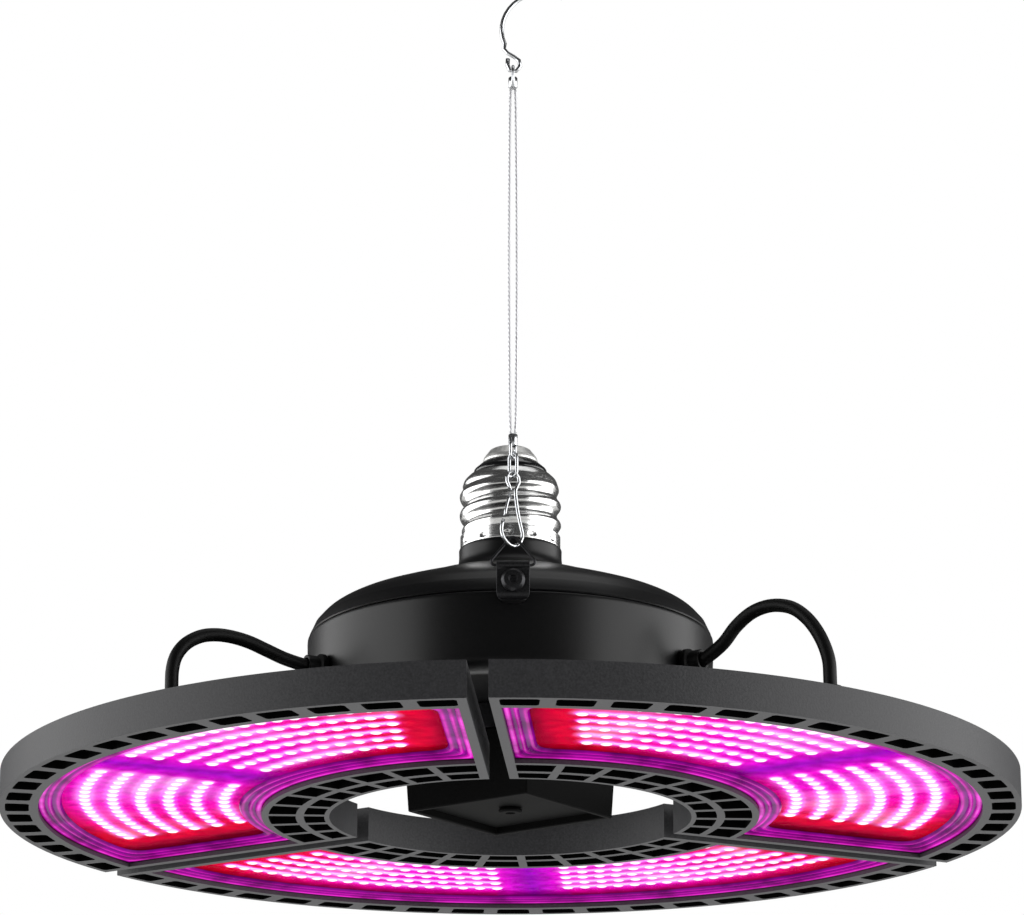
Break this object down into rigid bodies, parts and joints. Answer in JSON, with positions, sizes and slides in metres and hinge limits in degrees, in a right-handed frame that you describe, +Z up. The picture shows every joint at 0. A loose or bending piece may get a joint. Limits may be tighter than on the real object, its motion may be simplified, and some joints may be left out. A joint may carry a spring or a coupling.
{
  "type": "led grow light",
  "caption": "Screw-in LED grow light: domed driver housing over hinged ring-shaped light panels, with a wire safety tether, snap hook and open top hook.",
  "frame": {"origin": "tip of the screw cap's centre contact, where the lamp hangs in its holder", "axes": "+Z up along the screw cap's axis, out of the cap; -Y towards the slit between two panels that the tether stands beside"},
  "size_m": [0.26, 0.26, 0.2059],
  "materials": {
    "satin_housing": "satin black moulded plastic, very fine grain",
    "panel_paint": "dark grey moulded plastic with a fine horizontal grain",
    "clear_lens": "clear moulded polycarbonate cover with a stepped border",
    "led_board": "white solder mask lit magenta by red and blue chips",
    "black_aluminium": "black anodised aluminium",
    "nickel": "bright nickel plate on brass",
    "steel": "bright zinc-plated steel wire",
    "black_steel": "black oxide on steel",
    "rubber": "black rubber sheath",
    "insulator": "black vitreous insulator",
    "circuit_board": "green solder mask",
    "component": "driver components"
  },
  "bodies": {
    "housing": {"centre_contact": "nickel", "cap_insulator": "insulator", "screw_shell": "nickel", "upper_housing": "satin_housing", "lower_housing": "satin_housing", "driver_board": "circuit_board", "transformer": "component", "bulk_capacitor": "component", "filter_choke": "component", "hinge_spider": "black_aluminium", "hub_block": "satin_housing", "hub_cover": "satin_housing", "hub_screw": "black_steel", "hanger_tab": "black_steel", "tab_screw": "black_steel", "lead_grommet_1": "rubber", "lead_grommet_2": "rubber", "lead_grommet_3": "rubber", "lead_1": "rubber", "lead_2": "rubber", "lead_3": "rubber"},
    "panel_1": {"panel_frame_1": "panel_paint", "lens_1": "clear_lens", "led_board_1": "led_board", "heat_sink_1": "black_aluminium", "hinge_bracket_1": "black_aluminium", "hinge_pin_1": "steel", "lead_gland_1": "satin_housing"},
    "panel_2": {"panel_frame_2": "panel_paint", "lens_2": "clear_lens", "led_board_2": "led_board", "heat_sink_2": "black_aluminium", "hinge_bracket_2": "black_aluminium", "hinge_pin_2": "steel", "lead_gland_2": "satin_housing"},
    "panel_3": {"panel_frame_3": "panel_paint", "lens_3": "clear_lens", "led_board_3": "led_board", "heat_sink_3": "black_aluminium", "hinge_bracket_3": "black_aluminium", "hinge_pin_3": "steel", "lead_gland_3": "satin_housing"},
    "ring": {"hanger_ring": "black_steel"},
    "snap_hook": {"snap_hook": "steel", "oval_link": "steel", "lower_crimp": "steel", "tether_strand_1": "steel", "tether_strand_2": "steel", "upper_ferrule": "steel"},
    "snap_gate": {"snap_gate": "steel"},
    "top_hook": {"top_hook": "steel"}
  },
  "joints": [
    {"name": "panel_fold_1", "type": "hinge", "parent": "housing", "child": "panel_1", "pos_m": [0.0485, -0.028, -0.0837], "axis": [-0.5, -0.866, 0], "range_deg": [0, 60], "deforming": ["lead_1"]},
    {"name": "panel_fold_2", "type": "hinge", "parent": "housing", "child": "panel_2", "pos_m": [0, 0.056, -0.0837], "axis": [1, 0, 0], "range_deg": [0, 60], "deforming": ["lead_2"]},
    {"name": "panel_fold_3", "type": "hinge", "parent": "housing", "child": "panel_3", "pos_m": [-0.0485, -0.028, -0.0837], "axis": [-0.5, 0.866, 0], "range_deg": [0, 60], "deforming": ["lead_3"]},
    {"name": "ring_swing", "type": "hinge", "parent": "housing", "child": "ring", "pos_m": [0.00377, -0.05387, -0.0464], "axis": [0.9976, 0.0698, 0], "range_deg": [-10, 30]},
    {"name": "snap_hook_swing", "type": "hinge", "parent": "ring", "child": "snap_hook", "pos_m": [0.00377, -0.05387, -0.0392], "axis": [0.9976, 0.0698, 0], "range_deg": [-8, 10]},
    {"name": "gate_open", "type": "hinge", "parent": "snap_hook", "child": "snap_gate", "pos_m": [0.00302, -0.05445, -0.02825], "axis": [0.6157, -0.788, 0], "range_deg": [0, 18], "stiffness_Nm_per_rad": 0.0015},
    {"name": "top_hook_swing", "type": "hinge", "parent": "snap_hook", "child": "top_hook", "pos_m": [0.00377, -0.05387, 0.0862], "axis": [0.9976, 0.0698, 0], "range_deg": [-18, 18]}
  ]
}
